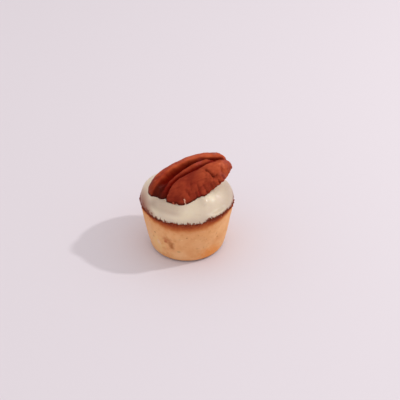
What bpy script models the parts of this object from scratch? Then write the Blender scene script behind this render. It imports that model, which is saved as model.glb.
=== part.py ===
"""Iced mini cake topped with a pecan half.

Metres, +Z up. The origin is the centre of the cake's flat base, on the axis of its round body.
+X runs along the cake's width, towards the raised end of the pecan half.
"""

import math

import bmesh
import bpy
from mathutils import Matrix, Vector

# The cake: a plain sponge baked in a small round tin, with a domed crown under the icing.
RIM_RADIUS = 0.0190
RIM_HEIGHT = 0.0216
RIM_ROUND = 0.0005
CROWN_RISE = 0.0026
CROWN_POWER = 2.2
SIDE_TOP_RADIUS = 0.0186
FOOT_RADIUS = 0.0157
FOOT_ROUND = 0.0026
SIDE_BULGE = 0.00035

# The icing: a thick poured cap that stands steeply over the rim and then domes over.
ICING_RISE = 0.0082
ICING_RADIUS = 0.01905
ICING_POWERS = (2.2, 0.413)
JOIN_GAP = 0.0003

# The pecan half: flat side down, rounded back up, one end sunk in the icing and one end raised.
NUT_LENGTH = 0.0358
NUT_WIDTH = 0.0208
NUT_THICKNESS = 0.0088
NUT_BELLY = 0.0011
NUT_CENTRE = (0.0015, -0.0006, RIM_HEIGHT + 0.0085)
NUT_TURN = math.radians(11)
NUT_TILT = math.radians(21.5)
NUT_ROLL = math.radians(12)
# The sunk end is blunter than the raised one, and the near lobe is fuller towards the sunk end.
SUNK_END_POWER = 2.5
RAISED_END_POWER = 2.1
NEAR_TAPER = 0.17

# The grooves beside the middle ridge: place and width as shares of the half width, depth as a
# share of the local thickness. The ridge bends towards the near side at the sunk end.
FAR_GROOVE = (0.20, 0.10, 0.38)
NEAR_GROOVE = (-0.17, 0.07, 0.28)
GROOVE_FADE = 8
RIDGE_BEND = 0.34
RIDGE_DROP = 0.07
RIDGE_WIDTH = 0.20
KEEL_WIDTH = 0.14
KEEL_DEPTH = 0.0012

TURNED_STEPS = 56
AXIS_MERGE = 0.00005
NUT_SEGMENTS = 52
NUT_RINGS = 30


def arc(centre, radius, start, end, steps):
    """Points (radius, height) along a circle's arc, angles in degrees from the outward direction."""
    points = []
    for i in range(steps + 1):
        angle = math.radians(start + (end - start) * i / steps)
        points.append((centre[0] + radius * math.cos(angle), centre[1] + radius * math.sin(angle)))
    return points


def bump(value, width):
    """1 at zero, falling smoothly to 0 over about two widths."""
    return math.exp(-((value / width) ** 2))


def material(name, colour, roughness):
    made = bpy.data.materials.new(name)
    made.use_nodes = True
    shader = made.node_tree.nodes["Principled BSDF"]
    shader.inputs["Base Color"].default_value = (*colour, 1)
    shader.inputs["Roughness"].default_value = roughness
    shader.inputs["Metallic"].default_value = 0
    return made


def turned(name, profile, collection):
    """A solid turned about Z from (radius, height) points that run down the outside, axis to axis."""
    mesh = bpy.data.meshes.new(name)
    points = [(radius, 0, height) for radius, height in profile]
    mesh.from_pydata(points, [(i, i + 1) for i in range(len(points) - 1)], [])
    obj = bpy.data.objects.new(name, mesh)
    collection.objects.link(obj)
    screw = obj.modifiers.new("Turn", "SCREW")
    screw.steps = TURNED_STEPS
    screw.render_steps = TURNED_STEPS
    screw.use_merge_vertices = True
    screw.merge_threshold = AXIS_MERGE
    screw.use_smooth_shade = True
    return obj


def crown_height(radius):
    """Height of the cake's domed top at this distance from its axis."""
    share = min(1, radius / (RIM_RADIUS - RIM_ROUND))
    return RIM_HEIGHT + CROWN_RISE * (1 - share**CROWN_POWER)


def icing_height(radius):
    """Height of the icing's outside: a dome that steepens to upright at its edge."""
    share = radius / ICING_RADIUS
    return RIM_HEIGHT + ICING_RISE * (1 - share ** ICING_POWERS[0]) ** ICING_POWERS[1]


def cake_profile():
    """Over the crown, round the rim, down the drafted side and in under the rounded foot."""
    crown_edge = RIM_RADIUS - RIM_ROUND
    crown = [(crown_edge * i / 8, crown_height(crown_edge * i / 8)) for i in range(8)]
    rim = arc((crown_edge, RIM_HEIGHT - RIM_ROUND), RIM_ROUND, 90, 0, 3)
    side = []
    low, high = FOOT_ROUND, RIM_HEIGHT - RIM_ROUND
    for i in range(1, 6):
        share = i / 6
        height = high + (low - high) * share
        radius = SIDE_TOP_RADIUS + (FOOT_RADIUS - SIDE_TOP_RADIUS) * share
        side.append((radius + SIDE_BULGE * math.sin(math.pi * share), height))
    foot = arc((FOOT_RADIUS - FOOT_ROUND, FOOT_ROUND), FOOT_ROUND, 0, -90, 5)
    return crown + rim + side + foot + [(0, 0)]


def icing_profile():
    """Over the dome to its steep edge, then back in along the crown."""
    over = []
    for i in range(18):
        radius = ICING_RADIUS * math.sin(math.pi / 2 * i / 18)
        over.append((radius, icing_height(radius)))
    lip = [(RIM_RADIUS, RIM_HEIGHT + JOIN_GAP)]
    under = []
    for i in range(6, -1, -1):
        radius = (RIM_RADIUS - RIM_ROUND) * i / 6
        under.append((radius, crown_height(radius) + JOIN_GAP))
    return over + lip + under


def nut_point(co, grooved):
    """Where a point of a unit sphere with its poles on X goes on the pecan half."""
    along = co.x
    ring = max(math.hypot(co.y, co.z), 1e-6)
    across, up = co.y / ring, co.z / ring
    side = across * (0.5 + 0.5 * across * across)
    power = SUNK_END_POWER if along < 0 else RAISED_END_POWER
    outline = max(0, 1 - abs(along) ** power) ** 0.5
    x = along * NUT_LENGTH / 2
    y = side * outline * NUT_WIDTH / 2
    if side < 0:
        y *= 1 - NEAR_TAPER * along
    if up < 0:
        keel = KEEL_DEPTH * bump(side, KEEL_WIDTH) if grooved else 0
        return Vector((x, y, outline * (keel * -up - NUT_BELLY * (-up) ** 0.8)))
    z = NUT_THICKNESS * outline**0.75 * (1 - side * side) ** 0.5
    if grooved:
        middle = -RIDGE_BEND * ((1 - along) / 2) ** 2
        cut = RIDGE_DROP * bump(side - middle, RIDGE_WIDTH)
        for place, width, depth in (FAR_GROOVE, NEAR_GROOVE):
            cut += depth * bump(side - middle - place, width) * (1 - abs(along) ** GROOVE_FADE)
        z *= 1 - cut
    return Vector((x, y, z))


def nut_mesh(name, grooved=True):
    bm = bmesh.new()
    bmesh.ops.create_uvsphere(bm, u_segments=NUT_SEGMENTS, v_segments=NUT_RINGS, radius=1)
    bmesh.ops.rotate(bm, verts=bm.verts, matrix=Matrix.Rotation(math.pi / 2, 3, "Y"))
    for vert in bm.verts:
        vert.co = nut_point(vert.co, grooved)
    mesh = bpy.data.meshes.new(name)
    bm.to_mesh(mesh)
    bm.free()
    mesh.shade_smooth()
    return mesh


def nut_place():
    turn = Matrix.Rotation(NUT_TURN, 4, "Z")
    tilt = Matrix.Rotation(-NUT_TILT, 4, "Y")
    roll = Matrix.Rotation(NUT_ROLL, 4, "X")
    return Matrix.Translation(NUT_CENTRE) @ turn @ tilt @ roll


def make_cake(collection):
    cake = turned("cake", cake_profile(), collection)
    cake.data.materials.append(material("baked_crumb", (0.58, 0.29, 0.12), 0.8))


def make_pecan_half(collection):
    nut = bpy.data.objects.new("pecan_half", nut_mesh("pecan_half"))
    nut.matrix_world = nut_place()
    nut.data.materials.append(material("pecan_skin", (0.26, 0.06, 0.022), 0.5))
    collection.objects.link(nut)


def make_icing(collection, cutters):
    """The icing cap, with a seat that the pecan half is pressed into."""
    seat = bpy.data.objects.new("pecan_seat_cutter", nut_mesh("pecan_seat_cutter", grooved=False))
    seat.matrix_world = nut_place()
    swell = seat.modifiers.new("Clearance", "DISPLACE")
    swell.strength = JOIN_GAP
    swell.mid_level = 0
    seat.hide_render = True
    seat.display_type = "WIRE"
    cutters.objects.link(seat)
    icing = turned("icing", icing_profile(), collection)
    cut = icing.modifiers.new("Pecan seat", "BOOLEAN")
    cut.operation = "DIFFERENCE"
    cut.solver = "EXACT"
    cut.object = seat
    icing.data.materials.append(material("white_icing", (0.78, 0.72, 0.60), 0.3))


def main():
    for obj in list(bpy.data.objects):
        bpy.data.objects.remove(obj)
    scene = bpy.context.scene
    model = bpy.data.collections.new("iced_mini_cake")
    cutters = bpy.data.collections.new("cutters")
    scene.collection.children.link(model)
    scene.collection.children.link(cutters)
    make_cake(model)
    make_pecan_half(model)
    make_icing(model, cutters)


main()
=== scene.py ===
import math

import bpy
import numpy as np
from mathutils import Matrix, Vector, noise


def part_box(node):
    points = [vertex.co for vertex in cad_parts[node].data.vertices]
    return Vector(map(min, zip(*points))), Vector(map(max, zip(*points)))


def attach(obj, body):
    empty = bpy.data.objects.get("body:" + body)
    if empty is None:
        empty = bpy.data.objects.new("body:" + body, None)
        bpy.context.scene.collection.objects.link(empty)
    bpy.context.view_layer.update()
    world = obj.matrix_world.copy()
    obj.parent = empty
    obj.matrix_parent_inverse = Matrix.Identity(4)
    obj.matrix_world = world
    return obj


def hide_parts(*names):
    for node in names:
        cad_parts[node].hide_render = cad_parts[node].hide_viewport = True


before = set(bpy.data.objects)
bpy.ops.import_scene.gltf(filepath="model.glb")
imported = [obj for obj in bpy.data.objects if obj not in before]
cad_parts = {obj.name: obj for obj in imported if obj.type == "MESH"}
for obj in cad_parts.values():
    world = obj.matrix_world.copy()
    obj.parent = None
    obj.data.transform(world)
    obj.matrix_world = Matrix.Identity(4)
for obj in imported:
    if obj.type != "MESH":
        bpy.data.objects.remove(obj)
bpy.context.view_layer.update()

mm = 0.001


# small tools used by every piece

def selectOnly(*pieces):
    if bpy.context.object and bpy.context.object.mode != "OBJECT":
        bpy.ops.object.mode_set(mode="OBJECT")
    bpy.ops.object.select_all(action="DESELECT")
    for piece in pieces:
        piece.select_set(True)
        bpy.context.view_layer.objects.active = piece


def nameNew(name):
    piece = bpy.context.object
    piece.name = name
    piece.data.name = name
    return piece


def applyModifier(piece, kind, **settings):
    modifier = piece.modifiers.new(kind.title(), kind)
    for key, value in settings.items():
        setattr(modifier, key, value)
    selectOnly(piece)
    bpy.ops.object.modifier_apply(modifier=modifier.name)


def editPoints(piece, chosen):
    # opens the piece in edit mode with only the chosen points selected
    piece.data.polygons.foreach_set("select", [False] * len(piece.data.polygons))
    piece.data.edges.foreach_set("select", [False] * len(piece.data.edges))
    piece.data.vertices.foreach_set("select", [bool(chosen(point.co)) for point in piece.data.vertices])
    selectOnly(piece)
    bpy.ops.object.mode_set(mode="EDIT")
    bpy.ops.mesh.select_mode(type="VERT")


def subdivide(piece, levels):
    applyModifier(piece, "SUBSURF", levels=levels, render_levels=levels)


def places(piece):
    spots = np.empty(len(piece.data.vertices) * 3)
    piece.data.vertices.foreach_get("co", spots)
    return spots.reshape(-1, 3)


def push(piece, direction, distance, weights):
    # moves each point by its own share of the distance, with a weighted Displace
    group = piece.vertex_groups.new(name="push")
    for index in np.flatnonzero(weights > 0.0005):
        group.add([int(index)], float(min(weights[index], 1)), "REPLACE")
    applyModifier(piece, "DISPLACE", vertex_group="push", direction=direction,
                  strength=distance, mid_level=0)
    piece.vertex_groups.clear()


def pushBoth(piece, direction, distance, weights):
    # the same for weights that go below zero
    push(piece, direction, distance, np.clip(weights, 0, 1))
    push(piece, direction, -distance, np.clip(-weights, 0, 1))


def roughen(piece, direction, lump, spots, seed, octaves, mask):
    # uneven lumps, given as (height, width of one lump), where the mask lets them be
    height, size = lump
    pushBoth(piece, direction, height, grain(spots, size, seed, octaves) * mask)


def keepAttribute(piece, name, values):
    layer = piece.data.attributes.new(name, "FLOAT", "POINT")
    layer.data.foreach_set("value", np.asarray(values, np.float32))


def ease(low, high, values):
    # 0 at low and 1 at high, smooth between; it falls where low is the greater
    share = np.clip((values - low) / (high - low), 0, 1)
    return share * share * (3 - 2 * share)


def hump(values, width):
    return np.exp(-(values / width) ** 2)


def moundAt(spots, x, y, reach, stretch=1):
    # a hump round a place seen from above, in mm; stretch narrows it across
    return hump(np.hypot(spots[:, 0] / mm - x, (spots[:, 1] / mm - y) * stretch), reach)


def grain(spots, size, seed=0, octaves=1):
    # smooth noise from -1 to 1; size is the width of one lump, a number or one for each axis
    scaled = spots / np.asarray(size) + 17.3 * seed
    if octaves == 1:
        return np.array([noise.noise(spot) for spot in scaled])
    return np.array([noise.fractal(spot, 0.7, 2.0, octaves) for spot in scaled])


def smoothPath(points, steps=14):
    # a Catmull-Rom curve through given points
    points = [np.array(point, float) for point in points]
    points = [2 * points[0] - points[1]] + points + [2 * points[-1] - points[-2]]
    path = []
    for before, start, end, after in zip(points, points[1:], points[2:], points[3:]):
        for share in np.linspace(0, 1, steps, endpoint=False):
            path.append(0.5 * (2 * start + (end - before) * share
                               + (2 * before - 5 * start + 4 * end - after) * share ** 2
                               + (3 * start - before - 3 * end + after) * share ** 3))
    return np.array(path + [points[-2]])


def nearPath(spots, path):
    # for each point: its distance to the path, on which side, and how far along it
    best = np.full(len(spots), np.inf)
    side = np.zeros(len(spots))
    along = np.zeros(len(spots))
    for step, (start, end) in enumerate(zip(path, path[1:])):
        run = end - start
        share = np.clip(((spots - start) @ run) / (run @ run), 0, 1)
        offset = spots - start - share[:, None] * run
        distance = np.hypot(offset[:, 0], offset[:, 1])
        closer = distance < best
        best[closer] = distance[closer]
        cross = run[0] * offset[:, 1] - run[1] * offset[:, 0]
        side[closer] = np.sign(cross)[closer]
        along[closer] = (step + share[closer]) / (len(path) - 1)
    return best, side, along


def turnedCage(name, rings, corners):
    # a disc extruded ring by ring, each ring a (radius, height)
    bpy.ops.mesh.primitive_circle_add(vertices=corners, radius=rings[0][0], fill_type="NGON",
                                      location=(0, 0, rings[0][1]))
    piece = nameNew(name)
    selectOnly(piece)
    bpy.ops.object.transform_apply(location=True, rotation=True, scale=True)
    bpy.ops.object.mode_set(mode="EDIT")
    bpy.ops.mesh.select_all(action="SELECT")
    for (radius, height), (nextRadius, nextHeight) in zip(rings, rings[1:]):
        rise = {"value": (0, 0, nextHeight - height)}
        bpy.ops.mesh.extrude_region_move(TRANSFORM_OT_translate=rise)
        scale = nextRadius / radius
        bpy.ops.transform.resize(value=(scale, scale, 1), center_override=(0, 0, nextHeight))
    bpy.ops.mesh.select_all(action="SELECT")
    bpy.ops.mesh.normals_make_consistent(inside=False)
    bpy.ops.object.mode_set(mode="OBJECT")
    return piece


def finishPiece(piece, material, body, node):
    selectOnly(piece)
    bpy.ops.object.shade_smooth()
    piece.data.materials.clear()
    piece.data.materials.append(material)
    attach(piece, body)
    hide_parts(node)
    print(node, "done:", len(piece.data.vertices), "points")


# shader tools

def linear(red, green, blue):
    # a colour as seen on a screen, 0 to 255, as the linear one that sockets take
    return tuple((c / 12.92 if c <= 0.04045 else ((c + 0.055) / 1.055) ** 2.4)
                 for c in (red / 255, green / 255, blue / 255)) + (1,)


def setInputs(tree, node, inputs):
    # a socket is linked, anything else is set as the value
    for key, value in inputs.items():
        if isinstance(value, bpy.types.NodeSocket):
            tree.links.new(value, node.inputs[key])
        else:
            node.inputs[key].default_value = value


def addNode(tree, kind, inputs=None, **settings):
    node = tree.nodes.new("ShaderNode" + kind)
    for key, value in settings.items():
        setattr(node, key, value)
    setInputs(tree, node, inputs or {})
    return node


def attribute(tree, name, output="Fac"):
    return addNode(tree, "Attribute", attribute_name=name).outputs[output]


def maths(tree, operation, first, second, clamp=False):
    node = addNode(tree, "Math", {0: first, 1: second}, operation=operation, use_clamp=clamp)
    return node.outputs[0]


def mixColour(tree, share, first, second):
    return addNode(tree, "Mix", {0: share, 6: first, 7: second}, data_type="RGBA").outputs[2]


def wash(tree, base, shade, mask, strength=1.0):
    # the base colour, turned towards the shade where the mask is
    return mixColour(tree, maths(tree, "MULTIPLY", mask, strength), base, linear(*shade))


def rampColour(tree, value, stops):
    node = addNode(tree, "ValToRGB", {"Fac": value})
    elements = node.color_ramp.elements
    while len(elements) < len(stops):
        elements.new(0.5)
    for element, (position, shade) in zip(elements, stops):
        element.position = position
        element.color = linear(*shade)
    return node.outputs["Color"]


def remap(tree, value, low, high, first=0.0, second=1.0):
    return addNode(tree, "MapRange", {0: value, 1: low, 2: high, 3: first, 4: second},
                   interpolation_type="SMOOTHSTEP").outputs[0]


def cloudNoise(tree, vector, scale, detail, roughness=0.5):
    return addNode(tree, "TexNoise", {"Vector": vector, "Scale": scale, "Detail": detail,
                                      "Roughness": roughness}).outputs["Fac"]


def newGroup(name, inputs, outputs):
    # a shader node group with its sockets, and the nodes that stand for them inside
    group = bpy.data.node_groups.new(name, "ShaderNodeTree")
    for label, (kind, value) in inputs.items():
        socket = group.interface.new_socket(label, in_out="INPUT", socket_type="NodeSocket" + kind)
        if value is not None:
            socket.default_value = value
    for label, kind in outputs.items():
        group.interface.new_socket(label, in_out="OUTPUT", socket_type="NodeSocket" + kind)
    return group, group.nodes.new("NodeGroupInput").outputs, group.nodes.new("NodeGroupOutput").inputs


def makePatches():
    # soft uneven patches: 0 outside, 1 inside
    group, given, result = newGroup("patches", {
        "Vector": ("Vector", None), "Size": ("Float", 0.004), "Detail": ("Float", 3.0),
        "Low": ("Float", 0.45), "High": ("Float", 0.65), "Seed": ("Float", 0.0)}, {"Mask": "Float"})
    scale = maths(group, "DIVIDE", 1.0, given["Size"])
    cloud = addNode(group, "TexNoise", {"Vector": given["Vector"], "W": given["Seed"], "Scale": scale,
                                        "Detail": given["Detail"], "Roughness": 0.55},
                    noise_dimensions="4D")
    group.links.new(remap(group, cloud.outputs["Fac"], given["Low"], given["High"]), result["Mask"])
    return group


def makeSpot():
    # one mark with a ragged edge round a given place, used for stains and for painted light and shade
    group, given, result = newGroup("spot", {
        "Vector": ("Vector", None), "Centre": ("Vector", None), "Stretch": ("Vector", (1, 1, 1)),
        "Radius": ("Float", 0.002), "Softness": ("Float", 0.6),
        "Ragged": ("Float", 0.4)}, {"Mask": "Float"})
    offset = addNode(group, "VectorMath", {0: given["Vector"], 1: given["Centre"]}, operation="SUBTRACT")
    scaled = addNode(group, "VectorMath", {0: offset.outputs[0], 1: given["Stretch"]},
                     operation="MULTIPLY")
    distance = addNode(group, "VectorMath", {0: scaled.outputs[0]}, operation="LENGTH").outputs["Value"]
    share = maths(group, "DIVIDE", distance, given["Radius"])
    cloud = cloudNoise(group, given["Vector"], 700.0, 3.0)
    wobble = maths(group, "MULTIPLY", maths(group, "SUBTRACT", cloud, 0.5), given["Ragged"])
    edge = maths(group, "ADD", share, maths(group, "MULTIPLY", wobble, 3.0))
    inner = maths(group, "SUBTRACT", 1.0, given["Softness"])
    group.links.new(remap(group, edge, inner, 1.0, 1.0, 0.0), result["Mask"])
    return group


def makeFineGrain():
    # fine noise for a finish: it varies the roughness and raises the surface
    group, given, result = newGroup("fineGrain", {
        "Vector": ("Vector", None), "Scale": ("Float", 1000.0), "Spread": ("Float", 0.5),
        "Smooth": ("Float", 0.4), "Rough": ("Float", 0.6)}, {"Roughness": "Float", "Height": "Float"})
    cloud = cloudNoise(group, given["Vector"], given["Scale"], 4.0, given["Spread"])
    group.links.new(remap(group, cloud, 0.3, 0.7, given["Smooth"], given["Rough"]), result["Roughness"])
    group.links.new(cloud, result["Height"])
    return group


patchesGroup = makePatches()
spotGroup = makeSpot()
fineGrainGroup = makeFineGrain()


def placeGroup(tree, group, inputs):
    node = tree.nodes.new("ShaderNodeGroup")
    node.node_tree = group
    setInputs(tree, node, inputs)
    return node.outputs


def patches(tree, vector, size, low, high, detail=3.0, seed=0.0):
    return placeGroup(tree, patchesGroup, {"Vector": vector, "Size": size, "Detail": detail,
                                           "Low": low, "High": high, "Seed": seed})["Mask"]


def spotMask(tree, vector, centre, radius, softness, ragged, stretch=(1, 1, 1)):
    # centre and radius in mm
    return placeGroup(tree, spotGroup, {"Vector": vector, "Centre": [c * mm for c in centre],
                                        "Stretch": stretch, "Radius": radius * mm,
                                        "Softness": softness, "Ragged": ragged})["Mask"]


def fineFinish(tree, shader, vector, finish, depth, strength):
    fine = placeGroup(tree, fineGrainGroup, {"Vector": vector, **finish})
    tree.links.new(fine["Roughness"], shader.inputs["Roughness"])
    bump = addNode(tree, "Bump", {"Height": fine["Height"], "Distance": depth, "Strength": strength})
    tree.links.new(bump.outputs["Normal"], shader.inputs["Normal"])


def newMaterial(name, **constants):
    # a Principled material, its tree, its shader and the Object coordinates
    material = bpy.data.materials.new(name)
    material.use_nodes = True
    tree = material.node_tree
    shader = tree.nodes["Principled BSDF"]
    for label, value in constants.items():
        shader.inputs[label.replace("_", " ")].default_value = value
    place = addNode(tree, "TexCoord").outputs["Object"]
    return material, tree, shader, place


# driving sizes

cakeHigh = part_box("cake")[1]
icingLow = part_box("icing")[0]
rimGap = 0.3 * mm                       # the icing stands this far above the rim
rimRadius = cakeHigh.x
rimHeight = icingLow.z - rimGap
crownRise = cakeHigh.z - rimHeight


def crownHeight(share):
    # the sponge's low dome under the icing, by share of the rim's radius
    return rimHeight + crownRise * (1 - share ** 2.2)


# camera, light and floor

view = {
    "lens": 85, "down": 35, "distance": 385 * mm, "aside": 5.3 * mm, "lower": 0.8 * mm,
    "horizonColour": (0.75, 0.72, 0.735, 1), "zenithColour": (0.97, 0.94, 0.95, 1),
    "lampAround": 5.8, "lampUp": 44.5, "lampAway": 0.75, "lampRadius": 19 * mm, "lampPower": 7.4,
    "floorColour": (0.70, 0.65, 0.685, 1), "floorSize": 60,
}


def makeStage():
    down = math.radians(view["down"])
    forward = Vector((0, math.cos(down), -math.sin(down)))
    upward = Vector((0, math.sin(down), math.cos(down)))
    bpy.ops.object.camera_add(rotation=(math.radians(90) - down, 0, 0))
    camera = bpy.context.object
    camera.location = (Vector((view["aside"], 0, rimHeight)) - forward * view["distance"]
                       - upward * view["lower"])
    camera.data.lens = view["lens"]
    camera.data.clip_start = 0.01
    camera.data.clip_end = 200
    bpy.context.scene.camera = camera

    around = math.radians(view["lampAround"])
    above = math.radians(view["lampUp"])
    bpy.ops.object.light_add(type="POINT", location=view["lampAway"] * Vector((
        math.cos(above) * math.cos(around), math.cos(above) * math.sin(around), math.sin(above))))
    lamp = bpy.context.object
    lamp.name = "keyLamp"
    lamp.data.energy = view["lampPower"]
    lamp.data.shadow_soft_size = view["lampRadius"]

    world = bpy.data.worlds.new("softRoom")     # a little brighter overhead than at the horizon
    world.use_nodes = True
    tree = world.node_tree
    up = addNode(tree, "SeparateXYZ", {0: addNode(tree, "TexCoord").outputs["Generated"]}).outputs["Z"]
    sky = mixColour(tree, remap(tree, up, 0.0, 1.0), view["horizonColour"], view["zenithColour"])
    tree.links.new(sky, tree.nodes["Background"].inputs["Color"])
    bpy.context.scene.world = world
    bpy.context.scene.view_settings.view_transform = "Standard"
    bpy.context.scene.view_settings.look = "None"

    bpy.ops.mesh.primitive_plane_add(size=view["floorSize"])
    floor = nameNew("floor")
    floor.data.materials.append(newMaterial("paleFloor", Roughness=1.0, Specular_IOR_Level=0,
                                            Base_Color=view["floorColour"])[0])
    print("stage done")


# sponge

sponge = {
    "footRadius": 15.7 * mm, "footRound": 2.6 * mm, "sideTop": 18.6 * mm, "bulge": 0.35 * mm,
    "corners": 64, "sideRings": 10, "crustOut": 0.12 * mm,
    # the icing's edge steps up between two angles round the cake
    "stepStart": -66, "stepEnd": -25, "stepRise": 1.0 * mm,
    # unevenness: the height of a lump and its width
    "lumps": (0.35 * mm, 6 * mm), "crumb": (0.10 * mm, 1.6 * mm),
    "crustOutward": (0.45 * mm, 0.8 * mm), "crustUpward": (0.5 * mm, 0.9 * mm),
    "poreDepth": 0.22 * mm, "poreSize": (1.1 * mm, 1.1 * mm, 0.8 * mm),
    "goldPair": ((222, 160, 106), (230, 174, 122)), "darkGold": (214, 152, 96),
    # broad washes on the side: centre, radius (mm), stretch, softness, ragged, colour
    "washes": [((-14.5, -8.0, 9.0), 9.5, (1, 1, 0.9), 1.0, 0.3, (232, 182, 134)),
               ((-11.5, -12.0, 7.5), 4.8, (1, 1, 0.75), 0.7, 0.5, (230, 184, 128)),
               ((10.0, -13.5, 3.0), 6.2, (0.8, 0.8, 1.1), 0.8, 0.4, (226, 146, 78))],
    # single marks on the side: centre, radius (mm), height to width, strength, colour
    "marks": [((-3.0, -15.6, 4.6), 5.0, 0.7, 0.6, (234, 186, 138)),
              ((15.0, -9.8, 15.0), 3.5, 1.4, 0.5, (238, 186, 136)),
              ((-15.0, -10.3, 16.0), 2.6, 1.0, 0.5, (228, 180, 142)),
              ((-7.9, -15.6, 12.0), 3.0, 0.9, 0.75, (184, 108, 62)),
              ((-6.1, -16.0, 9.4), 2.0, 1.7, 0.85, (168, 100, 54)),
              ((-8.6, -15.0, 10.9), 1.0, 1.0, 0.6, (176, 84, 48)),
              ((-12.8, -12.3, 13.6), 0.7, 1.0, 0.7, (160, 104, 60)),
              ((-13.4, -10.9, 10.8), 0.6, 1.6, 0.5, (170, 124, 70)),
              ((-3.2, -16.2, 6.4), 1.0, 0.6, 0.6, (172, 128, 76)),
              ((4.1, -16.3, 8.0), 0.8, 0.7, 0.4, (180, 128, 70)),
              ((-1.9, -17.6, 13.5), 0.8, 0.8, 0.7, (238, 190, 138)),
              ((3.7, -17.3, 13.3), 0.5, 1.0, 0.7, (238, 190, 138)),
              ((-11.3, -12.9, 9.0), 1.6, 1.3, 0.6, (226, 186, 158))],
    # the browned band under the icing, from the rim down
    "band": [(0.0, (112, 42, 20)), (0.15, (138, 56, 30)), (0.30, (154, 68, 33)), (0.44, (170, 84, 42)),
             (0.58, (194, 114, 64)), (0.72, (209, 138, 84)), (1.0, (216, 152, 98))],
    "poreShadeColour": (150, 84, 44), "sugarColour": (206, 158, 132), "footColour": (132, 72, 40),
    "finish": {"Scale": 2200.0, "Spread": 0.65, "Smooth": 0.62, "Rough": 0.82},
}


def edgeRise(spots):
    # how far the icing's lower edge stands above the rim, round the cake
    around = np.degrees(np.arctan2(spots[:, 1], spots[:, 0]))
    ring = np.column_stack((np.cos(np.radians(around)), np.sin(np.radians(around)), around * 0))
    wave = 0.25 * mm * grain(ring, 0.35, 3) + 0.12 * mm * grain(ring, 0.09, 4)
    step = ease(sponge["stepStart"] - 4, sponge["stepStart"] + 3, around) * (
        1 - ease(sponge["stepEnd"] - 10, sponge["stepEnd"] + 10, around))
    return wave + sponge["stepRise"] * step


def makeSponge():
    foot = sponge["footRound"]
    flat = sponge["footRadius"] - foot
    rings = [(flat * 0.9, 0), (flat, 0)]
    for turn in (30, 60, 90):
        angle = math.radians(turn)
        rings.append((flat + foot * math.sin(angle), foot * (1 - math.cos(angle))))
    sideHigh = rimHeight - 0.9 * mm
    for step in range(1, sponge["sideRings"] + 1):
        share = step / sponge["sideRings"]
        radius = (sponge["footRadius"] + (sponge["sideTop"] - sponge["footRadius"]) * share
                  + sponge["bulge"] * math.sin(math.pi * share))
        rings.append((radius, foot + (sideHigh - foot) * share))
    out = rimRadius + sponge["crustOut"]
    rings += [(rimRadius - 0.1 * mm, rimHeight - 0.45 * mm), (out, rimHeight - 0.1 * mm),
              (out, rimHeight + 0.25 * mm), (out - 0.25 * mm, rimHeight + 0.45 * mm),
              (out - 0.8 * mm, rimHeight + 0.3 * mm)]
    rings += [(rimRadius * share, crownHeight(share)) for share in (0.9, 0.75, 0.5, 0.2)]
    piece = turnedCage("sponge", rings, sponge["corners"])
    subdivide(piece, 3)

    spots = places(piece)
    x, y, z = spots.T
    radius = np.hypot(x, y)
    side = ease(0.3 * mm, 2.0 * mm, z) * ease(0.8, 0.95, radius / rimRadius)
    # the rim's crust follows the icing's edge
    lip = ease(rimHeight - 2.5 * mm, rimHeight, z) * ease(17.6 * mm, 18.4 * mm, radius)
    rise = edgeRise(spots)
    pushBoth(piece, "Z", 2 * mm, rise / (2 * mm) * lip)
    # uneven baking: broad lumps, fine crumb, and a ragged crust
    roughen(piece, "NORMAL", sponge["lumps"], spots, 1, 1, side)
    roughen(piece, "NORMAL", sponge["crumb"], spots, 2, 3, side)
    crust = ease(rimHeight - 1.4 * mm, rimHeight - 0.2 * mm, z) * ease(17.8 * mm, 18.6 * mm, radius)
    roughen(piece, "NORMAL", sponge["crustOutward"], spots, 5, 4, crust)
    roughen(piece, "Z", sponge["crustUpward"], spots, 15, 3, crust)
    # small open pores
    pore = ease(0.50, 0.78, grain(spots, sponge["poreSize"], 8)) * side
    push(piece, "NORMAL", -sponge["poreDepth"], pore)
    print("sponge shaped")

    keepAttribute(piece, "pore", pore)
    keepAttribute(piece, "rise", rise / mm)
    # the browned band is widest in front and narrowest right of it
    around = np.degrees(np.arctan2(y, x))
    flatSpots = np.column_stack((x, y, 0 * radius))
    keepAttribute(piece, "bake", 0.56 + 0.45 * hump(around + 86, 38) - 0.15 * hump(around + 20, 22)
                  + 0.25 * grain(flatSpots, 9 * mm, 16))
    finishPiece(piece, makeCrumb(), "root", "cake")
    return piece


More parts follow.
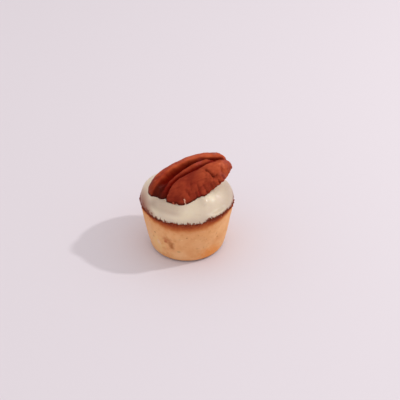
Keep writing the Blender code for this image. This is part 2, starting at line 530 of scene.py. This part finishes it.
def makeCrumb():
    material, tree, shader, place = newMaterial("bakedCrumb", Subsurface_Weight=0.12,
                                                Subsurface_Scale=0.0015, Specular_IOR_Level=0.1,
                                                Subsurface_Radius=(1.0, 0.5, 0.25))
    height = addNode(tree, "SeparateXYZ", {0: place}).outputs["Z"]
    rise, pore, bake = (attribute(tree, name) for name in ("rise", "pore", "bake"))
    wobble = maths(tree, "SUBTRACT", cloudNoise(tree, place, 260.0, 4.0, 0.6), 0.5)
    # mm below the rim, following the icing's edge, and less where the band is baked wide
    below = maths(tree, "MULTIPLY", maths(tree, "SUBTRACT", rimHeight, height), 1000.0)
    below = maths(tree, "ADD", below, maths(tree, "MULTIPLY", rise, 0.25))
    below = maths(tree, "ADD", maths(tree, "DIVIDE", below, bake), maths(tree, "MULTIPLY", wobble, 3.6))

    gold = mixColour(tree, patches(tree, place, 6 * mm, 0.35, 0.65),
                     *(linear(*shade) for shade in sponge["goldPair"]))
    gold = wash(tree, gold, sponge["darkGold"], patches(tree, place, 2.2 * mm, 0.5, 0.75, 4.0, 2.0))
    for centre, radius, stretch, softness, ragged, shade in sponge["washes"]:
        gold = wash(tree, gold, shade, spotMask(tree, place, centre, radius, softness, ragged, stretch))
    for centre, radius, tall, strength, shade in sponge["marks"]:
        mark = spotMask(tree, place, centre, radius, 0.85, 0.3, (1, 1, 1 / tall))
        gold = wash(tree, gold, shade, mark, strength)

    depth = addNode(tree, "MapRange", {0: below, 1: -1.0, 2: 6.0}).outputs[0]
    band = rampColour(tree, depth, sponge["band"])
    colour = mixColour(tree, remap(tree, below, 3.2, 6.0, 1.0, 0.0), gold, band)
    # painted shade in the pores
    colour = wash(tree, colour, sponge["poreShadeColour"], pore, 0.45)
    # bits of icing sugar on the crust
    sugar = remap(tree, cloudNoise(tree, place, 1500.0, 3.0, 0.7), 0.60, 0.70)
    sugar = maths(tree, "MULTIPLY", sugar, remap(tree, below, 1.6, 0.2, 0.0, 0.8))
    colour = wash(tree, colour, sponge["sugarColour"], sugar)
    colour = wash(tree, colour, sponge["footColour"], remap(tree, height, 0.0, 1.2 * mm, 1.0, 0.0), 0.85)
    tree.links.new(colour, shader.inputs["Base Color"])
    fineFinish(tree, shader, place, sponge["finish"], 0.06 * mm, 0.6)
    return material


# pecan half

pecan = {
    "length": 35.8 * mm, "width": 20.8 * mm, "thickness": 8.8 * mm, "belly": 1.1 * mm,
    "centre": Vector((0.0015, -0.0006, 0.0301)), "turn": 11, "tilt": 21.5, "roll": 12,
    "sunkPower": 2.5, "raisedPower": 2.1, "backPower": 0.75, "nearTaper": 0.17,
    "segments": 48, "rings": 24,
    # paths over the back, as shares of half the length and of the half width there
    "ridge": [(1.02, 0.0), (0.75, 0.0), (0.45, 0.03), (0.1, -0.04), (-0.12, -0.10),
              (-0.335, -0.20), (-0.50, -0.33), (-0.64, -0.52), (-0.73, -0.75), (-0.80, -1.05)],
    "farGroove": [(1.03, 0.42), (0.93, 0.14), (0.80, 0.06), (0.62, 0.13), (0.45, 0.20), (0.2, 0.21),
                  (0.0, 0.16), (-0.2, 0.10), (-0.38, 0.0), (-0.55, -0.13), (-0.72, -0.35),
                  (-0.86, -0.65)],
    "nearGroove": [(0.66, -0.10), (0.5, -0.12), (0.3, -0.14), (0.1, -0.16), (-0.12, -0.21),
                   (-0.32, -0.30), (-0.46, -0.44), (-0.58, -0.61), (-0.68, -0.78), (-0.76, -0.95)],
    "ridgeDrop": 0.9 * mm, "farDepth": 4.2 * mm, "nearDepth": 1.9 * mm, "meetingDrop": 0.9 * mm,
    "plumpOut": 1.3 * mm, "plumpDown": 0.4 * mm,
    "notch": 1.3 * mm, "farEndShort": 0.6 * mm, "farEndUp": 0.5 * mm, "nearEndUp": 0.9 * mm,
    "channelDepth": 1.6 * mm,
    # creases: points along and across, half width and depth in mm
    "furrows": [([(0.41, -0.44), (0.45, -0.50), (0.50, -0.68), (0.55, -0.86)], 0.42, 0.9),
                ([(0.52, -0.80), (0.56, -0.86), (0.62, -0.84)], 0.45, 0.7),
                ([(0.80, -0.50), (0.785, -0.62), (0.75, -0.84)], 0.38, 0.5),
                ([(0.74, -0.90), (0.72, -1.0)], 0.4, 0.7),
                ([(0.02, -0.29), (0.16, -0.27), (0.28, -0.25)], 0.3, 0.4),
                ([(-0.16, -0.36), (-0.05, -0.31)], 0.35, 0.3),
                ([(0.04, -0.60), (0.0, -0.70), (-0.03, -0.80)], 0.4, 0.35),
                ([(0.15, -0.72), (0.135, -0.85), (0.12, -0.97)], 0.4, 0.5),
                ([(-0.10, -0.80), (-0.12, -0.88)], 0.4, 0.5),
                ([(-0.26, -0.84), (-0.28, -1.0)], 0.3, 0.6),
                ([(0.25, -0.80), (0.27, -1.0)], 0.5, 0.45),
                ([(0.41, -0.90), (0.42, -1.05)], 0.4, 0.45),
                ([(0.60, -0.92), (0.60, -1.05)], 0.35, 0.7),
                ([(0.05, -0.86), (0.03, -1.0)], 0.35, 0.4),
                ([(-0.44, -0.86), (-0.47, -1.0)], 0.35, 0.4),
                # the far lobe has a few, low on its outer side
                ([(-0.16, 0.84), (-0.11, 0.90), (-0.15, 0.98)], 0.8, 0.25),
                ([(0.31, 0.80), (0.37, 0.88), (0.36, 0.97)], 0.5, 0.3),
                ([(0.68, 0.80), (0.66, 0.97)], 0.6, 0.3)],
    # unevenness: the height of a lump and its width
    "lumps": (0.45 * mm, 4.5 * mm), "wrinkles": (0.16 * mm, (2.6 * mm, 1.2 * mm, 1.6 * mm)),
    "fine": (0.05 * mm, (1.2 * mm, 0.5 * mm, 0.6 * mm)), "margin": (0.5 * mm, 2.0 * mm),
    "crumple": (0.5 * mm, 1.5 * mm), "pits": (0.35 * mm, 2.4 * mm),
    # places on the back in mm: x, y, reach and, for an oval one, stretch
    "nearEnd": (16.4, -1.8, 2.6), "crumpled": (8.6, -7.2, 3.4, 1.4),
    # the warm places are partly warmer skin and partly painted light, each with a strength
    "warmAndLitPlaces": [(14.0, -2.6, 3.8, 1.3, 1.0), (6.6, -4.6, 2.4, 1.0, 0.5), (1.8, 4.9, 3.2, 1.0, 0.5)],
    "nearSkin": ((124, 37, 21), (154, 58, 33)), "farSkin": ((148, 46, 24), (184, 80, 42)),
    # washes over the skin, in this order: mask, strength, colour; the hollow, deep, crease, flank and
    # contact washes are painted shade, the warm one partly painted light
    "washes": [("warmAndLit", 0.55, (204, 98, 58)), ("flankShade", 0.7, (112, 36, 14)),
               ("mottle", 0.55, (118, 26, 14)), ("hollowShade", 1.0, (114, 11, 2)),
               ("deepShade", 0.75, (60, 14, 0)), ("creaseShade", 0.55, (110, 22, 8)),
               ("fleck", 0.6, (196, 112, 78)), ("contactShade", 0.75, (62, 16, 4))],
    # tinted places, the pink ones painted sheen and the dark one at the raised end's tip painted shade:
    # x, y, radius (mm), softness, strength, colour
    "tintsSheenAndShade": [(16.4, -1.7, 2.2, 1.0, 0.4, (172, 84, 78)), (13.4, -6.0, 1.6, 0.9, 0.4, (176, 84, 74)),
              (17.2, -3.2, 2.6, 1.0, 0.5, (128, 54, 38)), (13.0, 4.2, 2.6, 1.0, 0.4, (150, 84, 70)),
              (6.4, 1.2, 2.2, 0.9, 0.45, (184, 80, 74)), (2.1, -9.6, 0.8, 0.9, 0.35, (150, 24, 22)),
              (-2.2, -8.3, 0.8, 0.8, 0.5, (96, 20, 10)), (-9.3, -9.3, 0.55, 0.6, 0.6, (206, 104, 80)),
              (-8.3, -9.9, 0.5, 0.6, 0.6, (206, 104, 80)), (-9.7, -6.4, 0.45, 0.6, 0.5, (206, 104, 80)),
              (-13.9, 1.9, 2.4, 0.9, 0.35, (118, 30, 8)), (-8.4, -3.2, 1.3, 0.9, 0.3, (60, 20, 4)),
              (13.5, 2.9, 1.4, 0.9, 0.3, (138, 92, 92)), (14.4, -3.2, 1.2, 0.9, 0.3, (232, 130, 96))],
    # a crack that shows the pale flesh, with its half width
    "crack": [(-0.250, -0.90), (-0.265, -0.95), (-0.290, -1.02)], "crackWidth": 0.24 * mm,
    "crackColour": (250, 190, 160),
    "finish": {"Scale": 1500.0, "Spread": 0.6, "Smooth": 0.42, "Rough": 0.58},
}


def halfWidth(along, far):
    # the nut's outline: how wide it is at each place along it, on the far or the near side
    power = np.where(along < 0, pecan["sunkPower"], pecan["raisedPower"])
    outline = np.sqrt(np.clip(1 - np.abs(along) ** power, 0, 1))
    return pecan["width"] / 2 * outline * np.where(far, 1, 1 - pecan["nearTaper"] * along)


def onNut(points):
    # (along, across) shares of the nut's size, to flat places
    result = []
    for along, across in points:
        width = halfWidth(np.array(min(max(along, -1), 1) * 0.999), across > 0)
        result.append((along * pecan["length"] / 2, across * max(float(width), 2 * mm)))
    return result


def nearBack(spots, points):
    # distance, side and how far along, for a path over the nut's back
    return nearPath(spots[:, :2], smoothPath(onNut(points)))


def makeNut():
    bpy.ops.mesh.primitive_uv_sphere_add(segments=pecan["segments"], ring_count=pecan["rings"], radius=1)
    piece = nameNew("pecanHalf")
    selectOnly(piece)
    bpy.ops.object.mode_set(mode="EDIT")
    bpy.ops.mesh.select_mode(type="VERT")
    bpy.ops.mesh.select_all(action="SELECT")
    bpy.ops.transform.rotate(value=math.radians(90), orient_axis="Y", center_override=(0, 0, 0))
    bpy.ops.transform.resize(value=(pecan["length"] / 2, pecan["width"] / 2, pecan["thickness"]),
                             center_override=(0, 0, 0))
    bpy.ops.object.mode_set(mode="OBJECT")
    # each ring is brought in to the outline, the near side narrower towards the raised end
    for step in range(1, pecan["rings"]):
        along = math.cos(math.pi * step / pecan["rings"])
        ring = along * pecan["length"] / 2
        circle = math.sqrt(1 - along ** 2)
        power = pecan["sunkPower"] if along < 0 else pecan["raisedPower"]
        outline = math.sqrt(1 - abs(along) ** power)
        editPoints(piece, lambda spot: abs(spot.x - ring) < 0.01 * mm)
        bpy.ops.transform.resize(value=(1, outline / circle, outline ** pecan["backPower"] / circle),
                                 center_override=(ring, 0, 0))
        bpy.ops.object.mode_set(mode="OBJECT")
        editPoints(piece, lambda spot: abs(spot.x - ring) < 0.01 * mm and spot.y < 0)
        bpy.ops.transform.resize(value=(1, 1 - pecan["nearTaper"] * along, 1),
                                 center_override=(ring, 0, 0))
        bpy.ops.object.mode_set(mode="OBJECT")
    # the lower half is flattened to a shallow belly
    editPoints(piece, lambda spot: spot.z < -0.001 * mm)
    bpy.ops.transform.resize(value=(1, 1, pecan["belly"] / pecan["thickness"]),
                             center_override=(0, 0, 0))
    bpy.ops.mesh.select_all(action="SELECT")
    bpy.ops.mesh.normals_make_consistent(inside=False)
    bpy.ops.object.mode_set(mode="OBJECT")
    subdivide(piece, 3)
    carveNut(piece)
    print("pecan half shaped")

    selectOnly(piece)
    piece.matrix_world = (Matrix.Translation(pecan["centre"])
                          @ Matrix.Rotation(math.radians(pecan["turn"]), 4, "Z")
                          @ Matrix.Rotation(math.radians(-pecan["tilt"]), 4, "Y")
                          @ Matrix.Rotation(math.radians(pecan["roll"]), 4, "X"))
    bpy.ops.object.transform_apply(location=True, rotation=True, scale=True)
    # painted shade: darker where it meets the icing
    spots = places(piece)
    gap = spots[:, 2] - icingHeight(np.hypot(spots[:, 0], spots[:, 1]))
    for x, y, reach, height in icing["swells"]:
        gap -= height * mm * moundAt(spots, x, y, reach)
    keepAttribute(piece, "contactShade", ease(1.3 * mm, 0.55 * mm, gap))
    return piece


def carveNut(piece):
    spots = places(piece)
    x, y, z = spots.T
    above = z > 0
    along = x / (pecan["length"] / 2)
    top = np.clip(z / pecan["thickness"], 0, 1) ** 0.5 * above
    # the near lobe swells out low down, towards its sunk end
    plump = hump(along + 0.30, 0.40) * ease(-0.45, -1.0, y / (pecan["width"] / 2))
    push(piece, "Y", -pecan["plumpOut"], plump)
    push(piece, "Z", -pecan["plumpDown"], plump)
    # the ridge and the groove on each side of it, the far one wide at the sunk end
    ridge, side, _ = nearBack(spots, pecan["ridge"])
    far, _, _ = nearBack(spots, pecan["farGroove"])
    near, _, nearShare = nearBack(spots, pecan["nearGroove"])
    farWide = (1.35 + 0.3 * ease(0.0, -0.6, along) - 0.75 * ease(0.05, 0.5, along)) * mm
    farShare = 1 - 0.55 * ease(0.05, 0.5, along) - 0.85 * ease(-0.45, -0.78, along)
    push(piece, "Z", -pecan["ridgeDrop"], hump(ridge / mm, 2.2) * top)
    push(piece, "Z", -pecan["farDepth"], np.exp(-(far / farWide) ** 4) * top * farShare)
    push(piece, "Z", -pecan["nearDepth"], hump(near / mm, 0.68) * top * ease(0, 0.12, nearShare))
    # the ridge sinks where the two grooves meet
    meeting = hump(ridge / mm, 1.3) * ease(0.50, 0.66, along) * ease(0.98, 0.84, along)
    push(piece, "Z", -pecan["meetingDrop"], meeting * top)
    # the raised end: a notch between the lobes, the far one shorter, the near one higher
    push(piece, "X", -pecan["notch"], hump(far / mm, 0.9) * ease(0.85, 1.0, along))
    push(piece, "X", -pecan["farEndShort"], ease(0.80, 1.0, along) * ease(-0.5 * mm, 1.5 * mm, y))
    push(piece, "Z", pecan["farEndUp"], ease(0.62, 0.85, along) * ease(0.6 * mm, 2.2 * mm, y) * above)
    push(piece, "Z", pecan["nearEndUp"], moundAt(spots, *pecan["nearEnd"]) * above)
    # the furrows also give a mask of painted shade in the creases
    creaseShade = np.zeros(len(spots))
    for points, width, depth in pecan["furrows"]:
        beside, _, share = nearBack(spots, points)
        weight = hump(beside / mm, width) * (0.35 + 0.65 * ease(0, 0.4, share)) * above
        push(piece, "NORMAL", -depth * mm, weight)
        creaseShade = np.maximum(creaseShade, weight * min(depth, 1))
    # broad lumps and lengthwise wrinkles of the skin, the far lobe smoother
    farLobe = ease(0.3 * mm, 2.0 * mm, ridge * -side)
    height, size = pecan["lumps"]
    lumps = grain(spots, size, 11)
    pushBoth(piece, "NORMAL", height, lumps * above * (1 - 0.75 * farLobe))
    height, size = pecan["wrinkles"]
    wrinkles = grain(spots, size, 12, 2)
    pushBoth(piece, "NORMAL", height, wrinkles * above)
    roughen(piece, "NORMAL", pecan["fine"], spots, 13, 2, 1)
    # an uneven margin, and a crumpled place on the near lobe
    roughen(piece, "NORMAL", pecan["margin"], spots, 18, 2, ease(2.0 * mm, 0.2 * mm, np.abs(z)))
    roughen(piece, "NORMAL", pecan["crumple"], spots, 19, 2, moundAt(spots, *pecan["crumpled"]) * above)
    # the flat side: a long channel and shallow pits
    under = ease(-0.1 * mm, -0.6 * mm, z)
    push(piece, "Z", pecan["channelDepth"], hump(y / mm, 1.8) * under * ease(0.92, 0.7, np.abs(along)))
    roughen(piece, "Z", pecan["pits"], spots, 14, 2, under)

    # masks that the skin is coloured by, and the flat places before the nut is tilted; the groove,
    # crease and flank masks are painted shade, the warm one partly painted light
    grooveShade = (np.exp(-(far / farWide / 1.12) ** 8) * (1 - 0.45 * hump(along - 0.46, 0.10))
            + np.exp(-(near / (0.85 * mm)) ** 4) + hump(ridge / mm, 1.7) * 0.9 * ease(-0.2, -0.6, along)
            + meeting * 0.85)
    grooveShade = np.clip(grooveShade, 0, 1)
    # lighter and warmer towards the raised end and at a few places: partly the skin's warm tone, partly
    # painted light
    warmAndLit = sum(strength * moundAt(spots, *where) for *where, strength in pecan["warmAndLitPlaces"])
    # painted shade along the far flank and at the far lobe's sunk end
    flankShade = ease(0.62, 0.86, y / halfWidth(along, True).clip(1 * mm))
    crack, _, _ = nearBack(spots, pecan["crack"])
    masks = {
        "creaseShade": creaseShade,
        "flankShade": np.maximum(flankShade, ease(-0.60, -0.86, along) * farLobe) * above,
        "deepShade": grooveShade * ease(-0.45, -0.70, along) * above,
        "hollowShade": grooveShade * top,
        "farLobe": farLobe,
        "warmAndLit": warmAndLit + 0.3 * ease(-0.2, 0.8, along) + 0.35 * farLobe * ease(-0.4, 0.3, along),
        "crest": 0.5 + 0.9 * lumps + 0.5 * wrinkles,
        "crack": ease(1.3, 0.7, crack / pecan["crackWidth"]) * above,
        "margin": ease(2.4 * mm, 0.3 * mm, np.abs(z)),
    }
    for name, values in masks.items():
        keepAttribute(piece, name, values)
    layer = piece.data.attributes.new("flat", "FLOAT_VECTOR", "POINT")
    layer.data.foreach_set("vector", spots.astype(np.float32).ravel())


def makeSkin():
    material, tree, shader, _ = newMaterial("pecanSkin", Subsurface_Weight=0.0, Specular_IOR_Level=0.06)
    flat = attribute(tree, "flat", "Vector")
    stretched = addNode(tree, "Mapping", {"Vector": flat, "Scale": (0.35, 1.0, 1.0)}).outputs["Vector"]
    masks = {name: attribute(tree, name) for name in (
        "hollowShade", "farLobe", "crest", "margin", "warmAndLit", "creaseShade", "flankShade", "crack", "contactShade", "deepShade")}
    masks["mottle"] = patches(tree, stretched, 1.6 * mm, 0.42, 0.75, 4.0, 3.0)
    masks["fleck"] = maths(tree, "MULTIPLY", patches(tree, flat, 0.6 * mm, 0.60, 0.68, 2.0, 5.0),
                           masks["margin"])
    nearSkin, farSkin = (mixColour(tree, masks["crest"], *(linear(*shade) for shade in pecan[lobe]))
                         for lobe in ("nearSkin", "farSkin"))
    skin = mixColour(tree, masks["farLobe"], nearSkin, farSkin)
    for name, strength, shade in pecan["washes"]:
        skin = wash(tree, skin, shade, masks[name], strength)
    # tinted places, some of them painted sheen and painted shade
    for x, y, radius, softness, strength, shade in pecan["tintsSheenAndShade"]:
        tint = spotMask(tree, flat, (x, y, 0), radius, softness, 0.5, (1, 1, 0))
        skin = wash(tree, skin, shade, tint, strength)
    skin = wash(tree, skin, pecan["crackColour"], masks["crack"])
    tree.links.new(skin, shader.inputs["Base Color"])
    fineFinish(tree, shader, stretched, pecan["finish"], 0.06 * mm, 0.5)
    return material


# icing

icing = {
    "radius": 19.05 * mm, "rise": 8.2 * mm, "powers": (2.2, 0.413), "corners": 64,
    # the rings of the cap: shares of the rim under it, then radii over it in mm
    "underShares": (0.15, 0.45, 0.7, 0.88), "underGap": 0.08 * mm,
    "domeRadii": (19.0, 18.92, 18.75, 18.45, 18.0, 17.3, 16.2, 14.6, 12.4, 9.8, 6.8, 3.6, 1.6),
    "meniscus": 0.35 * mm, "meniscusReach": 2.2 * mm,
    # unevenness: the height of a lump and its width
    "lumps": (0.22 * mm, 8 * mm), "edgeUpward": (0.55 * mm, 0.6 * mm),
    "edgeOutward": (0.18 * mm, 0.6 * mm),
    # places where the top swells or sinks: x, y, reach and height in mm
    "swells": [(7.3, -11.2, 2.3, 1.0), (11.0, -6.0, 3.6, 1.0), (12.8, -13.0, 4.0, -0.9),
               (-3.5, -13.3, 4.8, -1.15), (-12.0, -8.8, 2.6, 0.1), (-14.5, 5.0, 5.0, 0.5)],
    "creamPair": ((218, 203, 178), (213, 195, 174)), "greyCream": (208, 187, 164),
    # the dim colour is painted shade, the glow colour painted light
    "paintedShadeColour": (120, 88, 78), "paintedLightColour": (244, 232, 204),
    # the thin colour is thin icing over the crust together with painted shade
    "thinAndShadedColour": (146, 90, 70), "crumbColour": (122, 50, 26),
    # a place of painted light and a wet one: centre and radius in mm, softness, ragged
    "paintedLight": ((9.0, -8.4, 28.3), 4.2, 1.0, 0.2), "wet": ((8.2, -11.8, 27.8), 2.5, 0.5, 0.3),
    "finish": {"Scale": 500.0, "Spread": 0.5, "Smooth": 0.3, "Rough": 0.42},
}


def icingHeight(radius):
    share = np.minimum(radius / icing["radius"], 1)
    return rimHeight + icing["rise"] * (1 - share ** icing["powers"][0]) ** icing["powers"][1]


def makeIcing(nut):
    under = [(share * rimRadius, crownHeight(share) + icing["underGap"])
             for share in icing["underShares"]]
    edge = [(18.3 * mm, rimHeight + 0.35 * mm), (18.85 * mm, rimHeight + 0.28 * mm),
            (19.02 * mm, rimHeight + 0.6 * mm)]
    dome = [(radius * mm, icingHeight(radius * mm)) for radius in icing["domeRadii"]]
    piece = turnedCage("icingCap", under + edge + dome, icing["corners"])
    subdivide(piece, 3)

    spots = places(piece)
    x, y, z = spots.T
    outside = ease(17.2 * mm, 18.4 * mm, np.hypot(x, y))
    overEdge = (z - rimHeight - rimGap) / mm
    low = ease(rimHeight + 4 * mm, rimHeight + 0.5 * mm, z) * outside
    pushBoth(piece, "Z", 2 * mm, edgeRise(spots) / (2 * mm) * low)
    # broad unevenness, and a ragged lower edge
    roughen(piece, "NORMAL", icing["lumps"], spots, 7, 1, ease(rimHeight, rimHeight + 2 * mm, z))
    edgeBand = ease(1.2, 0.3, overEdge) * outside
    roughen(piece, "Z", icing["edgeUpward"], spots, 6, 3, edgeBand)
    roughen(piece, "NORMAL", icing["edgeOutward"], spots, 9, 2, edgeBand)
    top = ease(rimHeight + 1 * mm, rimHeight + 4 * mm, z)
    for across, back, reach, height in icing["swells"]:
        push(piece, "NORMAL", height * mm, moundAt(spots, across, back, reach) * top)
    # the set icing swells up round the nut
    group = piece.vertex_groups.new(name="meniscus")
    group.add(list(range(len(piece.data.vertices))), 1, "REPLACE")
    applyModifier(piece, "VERTEX_WEIGHT_PROXIMITY", vertex_group="meniscus", target=nut,
                  proximity_mode="GEOMETRY", proximity_geometry={"FACE"},
                  min_dist=icing["meniscusReach"], max_dist=0.0, falloff_type="SMOOTH")
    applyModifier(piece, "DISPLACE", vertex_group="meniscus", direction="Z",
                  strength=icing["meniscus"], mid_level=0)
    piece.vertex_groups.clear()
    print("icing shaped")

    keepAttribute(piece, "overEdge", overEdge)
    # thin icing over the crust with painted shade at the left of the edge and a little at the right;
    # painted shadow of the nut at the front left, and painted shade at the front right and on the right
    # side
    leftward = x / rimRadius
    keepAttribute(piece, "shaded", ease(-0.55, -0.98, leftward) * ease(11 * mm, -7 * mm, y)
                  + 0.4 * ease(0.9, 0.99, leftward))
    x, y, z = spots.T / mm
    keepAttribute(piece, "paintedShade", (0.36 + 0.12 * ease(-11, -14, x)) * ease(0.5, -6, x)
                  * ease(-6.5, -10.5, y) * ease(24.2, 26.0, z)
                  + 0.15 * ease(-1, 7, x) * ease(-8, -13, y) + 0.3 * ease(12, 17, x))
    # the nut's own shape is cut out of the icing
    selectOnly(nut)
    bpy.ops.object.duplicate()
    cutter = bpy.context.object
    applyModifier(piece, "BOOLEAN", operation="DIFFERENCE", solver="MANIFOLD", object=cutter)
    bpy.data.objects.remove(cutter)
    finishPiece(piece, makeGlaze(), "root", "icing")
    return piece


def makeGlaze():
    material, tree, shader, place = newMaterial("whiteIcing", Subsurface_Weight=0.2,
                                                Subsurface_Scale=0.0012, Specular_IOR_Level=0.18,
                                                Subsurface_Radius=(1.0, 0.7, 0.45),
                                                Coat_Roughness=0.16)
    overEdge, shaded, paintedShade = (attribute(tree, name) for name in ("overEdge", "shaded", "paintedShade"))
    cream = mixColour(tree, patches(tree, place, 7 * mm, 0.35, 0.65, 2.0),
                      *(linear(*shade) for shade in icing["creamPair"]))
    cream = wash(tree, cream, icing["greyCream"], patches(tree, place, 1.5 * mm, 0.55, 0.8, 4.0, 4.0))
    # painted shadow of the nut and painted shade on the icing
    cream = wash(tree, cream, icing["paintedShadeColour"], paintedShade)
    # a painted pool of light
    cream = wash(tree, cream, icing["paintedLightColour"], spotMask(tree, place, *icing["paintedLight"]), 0.6)
    wet = maths(tree, "MULTIPLY", spotMask(tree, place, *icing["wet"]), 0.3)
    tree.links.new(wet, shader.inputs["Coat Weight"])
    # thin icing over the crust with painted shade: it reaches higher where the edge is shaded, in mm
    # over the edge
    reach = maths(tree, "ADD", maths(tree, "MULTIPLY", shaded, 7.5), 0.8)
    thinAndShaded = maths(tree, "SUBTRACT", 1.0, maths(tree, "DIVIDE", overEdge, reach), clamp=True)
    strength = maths(tree, "MULTIPLY", maths(tree, "ADD", shaded, 0.25), 1.1)
    thinAndShaded = maths(tree, "MULTIPLY", thinAndShaded, strength, clamp=True)
    cream = wash(tree, cream, icing["thinAndShadedColour"], thinAndShaded)
    # brown crumb shows through the ragged lower edge
    upright = addNode(tree, "Mapping", {"Vector": place, "Scale": (1.0, 1.0, 0.4)}).outputs["Vector"]
    ragged = maths(tree, "SUBTRACT", cloudNoise(tree, upright, 1200.0, 4.0, 0.7), 0.56)
    broken = maths(tree, "ADD", overEdge, maths(tree, "MULTIPLY", ragged, 6.5))
    broken = maths(tree, "SUBTRACT", broken, maths(tree, "MULTIPLY", shaded, 0.9))
    cream = wash(tree, cream, icing["crumbColour"], remap(tree, broken, -0.15, 0.35, 1.0, 0.0), 0.9)
    tree.links.new(cream, shader.inputs["Base Color"])
    fineFinish(tree, shader, place, icing["finish"], 0.05 * mm, 0.3)
    return material


makeStage()
makeSponge()
nut = makeNut()
makeIcing(nut)
finishPiece(nut, makeSkin(), "root", "pecan_half")
